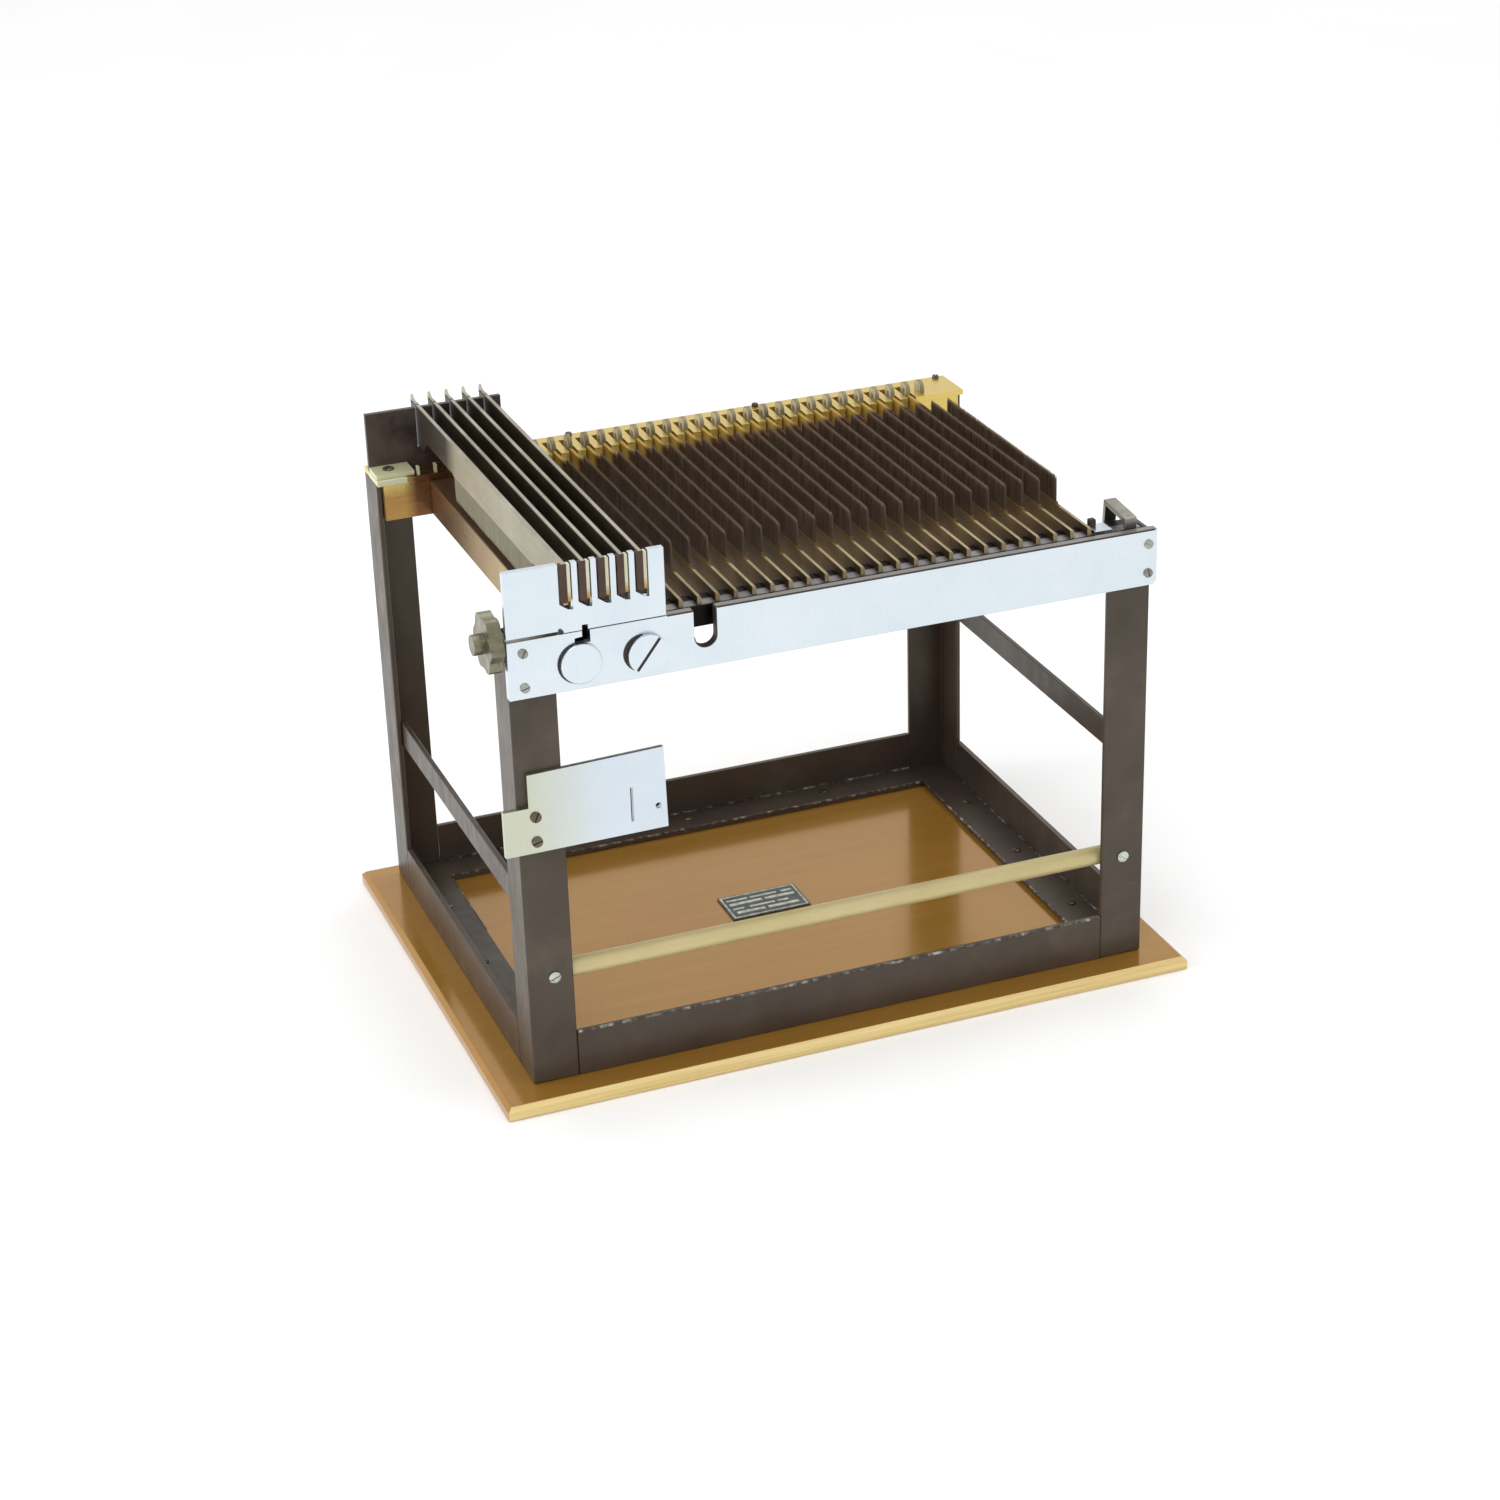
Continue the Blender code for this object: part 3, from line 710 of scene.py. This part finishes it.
# ---------------------------------------------------------------- CAD nodes kept
FINISHES = {
    "leg_front_left": ("iron", 0.35), "leg_front_right": ("iron", 0.35),
    "leg_rear_left": ("iron", 0.35), "leg_rear_right": ("iron", 0.35),
    "base_ring": ("iron", 0.35), "brace_left": ("iron", 0.35), "brace_right": ("iron", 0.35),
    "base_board": ("wood", 0.5), "tie_rod": ("rod", 0.5), "front_rail": ("rail", 0.3),
    "comb_guide": ("guide", 0.2), "rear_rail": ("brass", 0.25),
    "pivot_rod": ("steel_dull", 0.0), "rest_plate_front": ("steel", 0.25),
    "rest_plate_rear": ("rest_dark", 0.25), "side_bar": ("tan", 0.3),
    "catch_plate": ("catch", 0.25), "end_bracket": ("steel_dull", 0.3),
    "clamp_knob": ("knob", 0.4), "eccentric_disc": ("steel", 0.2),
    "rest_screw": ("steel", 0.2), "nameplate": ("plate", 0.1),
}
for name, (finish, edge) in FINISHES.items():
    dress(name, M[finish], edge)
board = nodes["base_board"].data
board.materials.append(M["board_edge"])
for face in board.polygons:
    if face.normal.y < -0.3:
        face.material_index = len(board.materials) - 1


# ---------------------------------------------------------------- screws
def screw(name, centre, axis, radius, height, mat, turn):
    """A slotted screw head: low dome cut by a straight slot, on a washer face."""
    solid = Solid(name)
    u, v = ACROSS[axis[0]]
    w = 3 - u - v
    sign = -1.0 if axis.endswith("-") else 1.0
    slot_half = radius * 0.13
    dome = [(1.0, 0.0), (1.0, height * 0.65), (0.82, height * 0.9), (0.5, height)]
    cos_turn, sin_turn = math.cos(turn), math.sin(turn)
    start = math.asin(slot_half / radius)
    half_circle = arc((0.0, 0.0), radius, start, math.pi - start, 14)
    count = len(half_circle)
    for side in (-1.0, 1.0):
        verts = []
        for scale, depth in dome:
            for p, q in half_circle:
                along, across = p * scale, max(q * scale, slot_half) * side
                point = list(centre)
                point[u] += along * cos_turn - across * sin_turn
                point[v] += along * sin_turn + across * cos_turn
                point[w] += sign * depth
                verts.append(point)
        last = count * (len(dome) - 1)
        faces = [list(range(count)), [last + i for i in range(count)]]
        for a in range(0, last, count):
            b = a + count
            for i in range(count):
                j = (i + 1) % count
                faces.append([a + i, a + j, b + j, b + i])
        solid.put(verts, faces, mat)
    washer = [(radius * 0.97, 0.0), (radius * 0.97, height * 0.35),
              (radius * 0.2, height * 0.35)]
    solid.lathe([(r, sign * d) for r, d in washer], axis[0], centre, mat, 20, False)
    solid.make(ROOT)


for i, (x, z) in enumerate(((7.2, 257.2), (7.2, 238.6), (354.0, 256.0), (354.0, 239.6))):
    screw("rail_screw_%d" % i, (x, RAIL_FACE, z), "Y-", 2.5, 1.4, M["screw_grey"],
          0.5 + 0.8 * i)
for i, z in enumerate((165.5, 151.5)):
    screw("catch_screw_%d" % i, (9.0, CATCH_FACE, z), "Y-", 2.9, 1.5, M["screw_dark"],
          0.4 + 0.9 * i)
for i, x in enumerate((14.6, 345.6)):
    screw("tie_rod_screw_%d" % i, (x, 0.0, 69.6), "Y-", 3.3, 1.6, M["screw"], 1.2 + i)
for i, x in enumerate((120.7, 236.0, 352.0)):
    screw("rear_rail_screw_%d" % i, (x, 264.5, REAR_RAIL_TOP), "Z", 2.0, 2.0,
          M["screw_dark"], 0.5 * i)
screw("rest_foot_screw", (9.0, 248.0, REAR_RAIL_TOP + 2.8), "Z", 3.2, 1.4, M["screw_dark"],
      0.9)
ring_screws = [(x, y) for x in (345.0, 13.0) for y in (60.0, 133.0, 205.0)]
ring_screws += [(90.0, 13.0), (270.0, 13.0), (90.0, 254.0), (180.0, 254.0), (270.0, 254.0)]
for i, (x, y) in enumerate(ring_screws):
    screw("ring_screw_%02d" % i, (x, y, FLANGE_TOP), "Z", 2.4, 1.1, M["screw_dark"], 0.7 * i)


# ---------------------------------------------------------------- small pieces
# nameplate: pale border and ruled blank bars, no lettering
PLATE_ROWS = (((0.08, 0.34), (0.38, 0.72), (0.78, 0.92)), ((0.08, 0.50), (0.54, 0.92)),
              ((0.08, 0.22), (0.30, 0.62), (0.66, 0.80)), ((0.10, 0.46), (0.50, 0.90)))
(left, right), (near, far), (_, plate_top) = spans("nameplate")
marks = Solid("nameplate_marks")
raised_by = (plate_top - 0.1, plate_top + 0.12)
marks.box((left + 1, right - 1), (near + 1, near + 2), raised_by, M["marks"])
marks.box((left + 1, right - 1), (far - 2, far - 1), raised_by, M["marks"])
marks.box((left + 1, left + 2), (near + 2, far - 2), raised_by, M["marks"])
marks.box((right - 2, right - 1), (near + 2, far - 2), raised_by, M["marks"])
for row, bars in enumerate(PLATE_ROWS):
    y = far - 7.0 - 5.2 * row
    for start, stop in bars:
        along = (left + start * (right - left), left + stop * (right - left))
        marks.box(along, (y, y + (2.6 if row % 2 else 1.7)), raised_by, M["marks"])
marks.make(ROOT)

# cream cap over the rear rail's left end, and two small bright tabs beside it
cap = Solid("rear_rail_cap")
cap.box((-0.15, 17.0), (237.8, 255.2), (262.6, 266.0), M["cream"], 0.2)
for x in (24.0, 34.0):
    cap.box((x - 0.7, x + 0.7), (238.6, 241.6), (265.7, 271.0), M["cream"], 0.2)
cap.make(ROOT)

# bright tongue and dark stop block past the last comb, on the comb guide
end = Solid("guide_end_block")
end.box((327.0, 337.0), (3.8, 14.6), (261.9, 264.4), M["steel"], 0.3)
end.box((327.0, 330.6), (10.4, 13.6), (264.2, 268.6), M["gap"], 0.4)
end.make(ROOT)

# painted shadow: dark line along the front rail's top edge and a dark lining inside its notch
line = Solid("front_rail_shadow_line")
for span in ((83.4, 97.3), (110.1, 357.6)):
    line.box(span, (RAIL_FACE - 0.06, RAIL_FACE + 0.7), (RAIL_TOP - 0.7, RAIL_TOP + 0.06),
             M["gap"])
notch_shadow = []
for radius, outer in ((6.24, True), (5.7, False)):
    side = [(NOTCH[0] + radius, RAIL_TOP - 0.4)] + arc(NOTCH, radius, 0.0, -math.pi, 12)
    notch_shadow += side if outer else side[::-1]
line.prism(notch_shadow, "Y", RAIL_FACE + 0.3, -0.4, M["gap"])
line.make(ROOT)

# broken bright wear along the base ring's flanges
wear = Solid("base_ring_wear")
inner_edge = (FLANGE_TOP - 0.6, FLANGE_TOP + 0.15)
along_x = (LEG_WIDE + 1.0, RIGHT_LEG - 1.0)
along_y = (LEG_WIDE + 0.5, REAR_LEG - 0.5)
wear.box((LEG_WIDE + 0.5, RIGHT_LEG - 0.5), (REAR_LEG - 0.1, REAR_LEG + 1.0), inner_edge,
         M["wear"])
wear.box(along_x, (RING_BACK - 4.4, RING_BACK - 3.0), (FLANGE_TOP - 0.1, FLANGE_TOP + 0.7),
         M["wear"])
wear.box((RIGHT_LEG - 1.0, RIGHT_LEG + 0.1), along_y, inner_edge, M["wear"])
wear.box((RING_RIGHT - 4.1, RING_RIGHT - 3.2), (LEG_WIDE + 1.0, REAR_LEG - 1.0),
         (FLANGE_TOP - 0.1, FLANGE_TOP + 0.4), M["wear"])
wear.box(along_x, (-0.1, 1.1), (RING_TOP - 0.8, RING_TOP + 0.3), M["wear"])
wear.box((LEG_WIDE - 0.1, LEG_WIDE + 0.6), (170.0, REAR_LEG - 0.5),
         (FLANGE_TOP - 0.6, FLANGE_TOP + 0.1), M["wear"])
wear.make(ROOT)


def crescent(solid, centre, radius, start, stop, width):
    """Dark shadow gap beside a round part on the front rail; start and stop in degrees."""
    outer, inner = [], []
    for i in range(17):
        share = i / 16
        a = math.radians(start + (stop - start) * share)
        reach = radius + 0.15 + width * math.sin(math.pi * share)
        outer.append((centre[0] + reach * math.cos(a), centre[1] + reach * math.sin(a)))
        inner.append((centre[0] + radius * math.cos(a), centre[1] + radius * math.sin(a)))
    solid.prism(outer + inner[::-1], "Y", RAIL_FACE - 0.45, RAIL_FACE + 0.1, M["gap"])


shadows = Solid("disc_shadow_gaps")
crescent(shadows, DISC, 10.9, 84.0, 268.0, 1.0)
crescent(shadows, REST_SCREW, 10.7, 100.0, 232.0, 1.7)
shadows.make(ROOT)

# painted shade: dark bottom of the rest screw's slot, which turns with the screw
SLOT_ANGLE = math.radians(52.0)
along_slot = Vector((math.cos(SLOT_ANGLE), math.sin(SLOT_ANGLE)))
across_slot = Vector((-along_slot.y, along_slot.x))
corners = []
for along, across in ((-10.0, -0.8), (10.0, -0.8), (10.0, 0.8), (-10.0, 0.8)):
    corners.append(tuple(Vector(REST_SCREW) + along * along_slot + across * across_slot))
inlay = Solid("rest_screw_slot")
inlay.prism(corners, "Y", REST_SCREW_FACE + 0.6, REST_SCREW_FACE + 1.3, M["gap"])
inlay.make("screw")

# one spare hinge lug past the last comb
spare = Solid("spare_hinge_lug")
hinge_lug(spare, 333.95)
spare.make(ROOT)

# small pin at the end of the gap over the front rail
pin = Solid("rest_pin")
pin.lathe([(1.2, 0.0), (1.2, -1.2), (0.7, -1.7)], "Y", (27.4, RAIL_FACE, 265.4), M["gap"], 14)
pin.make(ROOT)

# ---------------------------------------------------------------- stage
FLOOR_HALF = 6.0             # metres
FLOOR_DROP = 0.0002
floor_mesh = bpy.data.meshes.new("studio_floor")
floor_mesh.from_pydata([(u * FLOOR_HALF, v * FLOOR_HALF, 0.0)
                        for u, v in ((-1, -1), (1, -1), (1, 1), (-1, 1))],
                       [], [(0, 1, 2, 3)])
floor_mesh.materials.append(M["floor"])
floor = bpy.data.objects.new("studio_floor", floor_mesh)
floor.location.z = -FLOOR_DROP
bpy.context.scene.collection.objects.link(floor)

world = bpy.data.worlds.new("studio")
world.use_nodes = True
sky = world.node_tree.nodes["Background"]
sky.inputs["Color"].default_value = (1.0, 1.0, 1.0, 1.0)
sky.inputs["Strength"].default_value = 0.95
bpy.context.scene.world = world
bpy.context.scene.view_settings.view_transform = "Standard"


def area_light(name, location, target, size, power):
    """A square white lamp aimed at `target`; metres and watts."""
    data = bpy.data.lights.new(name, "AREA")
    data.shape = "SQUARE"
    data.size = size
    data.energy = power
    light = bpy.data.objects.new(name, data)
    light.location = location
    aim = Vector(target) - Vector(location)
    light.rotation_mode = "QUATERNION"
    light.rotation_quaternion = aim.to_track_quat("-Z", "Y")
    bpy.context.scene.collection.objects.link(light)


area_light("key", (-0.9, -1.6, 1.9), (0, 0, 0.15), 1.2, 8.0)
area_light("top", (0.5, 0.3, 2.2), (0, 0, 0.1), 1.6, 8.0)
area_light("left", (-2.0, 0.2, 0.9), (0, 0, 0.15), 1.0, 12.0)

# ---------------------------------------------------------------- camera
CAMERA_AT = (-393.68, -1396.89, 887.48)
YAW, PITCH, ROLL = 0.357, 0.444, -0.032      # radians: from +y to +x, down, about the view
LENS = 76.4688
ahead = Vector((math.sin(YAW) * math.cos(PITCH), math.cos(YAW) * math.cos(PITCH),
                -math.sin(PITCH)))
level = Vector((math.cos(YAW), -math.sin(YAW), 0.0))
upright = level.cross(ahead)
side_axis = level * math.cos(ROLL) + upright * math.sin(ROLL)
up_axis = upright * math.cos(ROLL) - level * math.sin(ROLL)
axes = Matrix((side_axis, up_axis, -ahead)).transposed()
camera_data = bpy.data.cameras.new("camera")
camera_data.sensor_width = 36.0
camera_data.lens = LENS
camera_data.clip_start = 0.05
camera_data.clip_end = 30.0
camera = bpy.data.objects.new("camera", camera_data)
camera.matrix_world = Matrix.Translation(at(*CAMERA_AT)) @ axes.to_4x4()
bpy.context.scene.collection.objects.link(camera)
bpy.context.scene.camera = camera
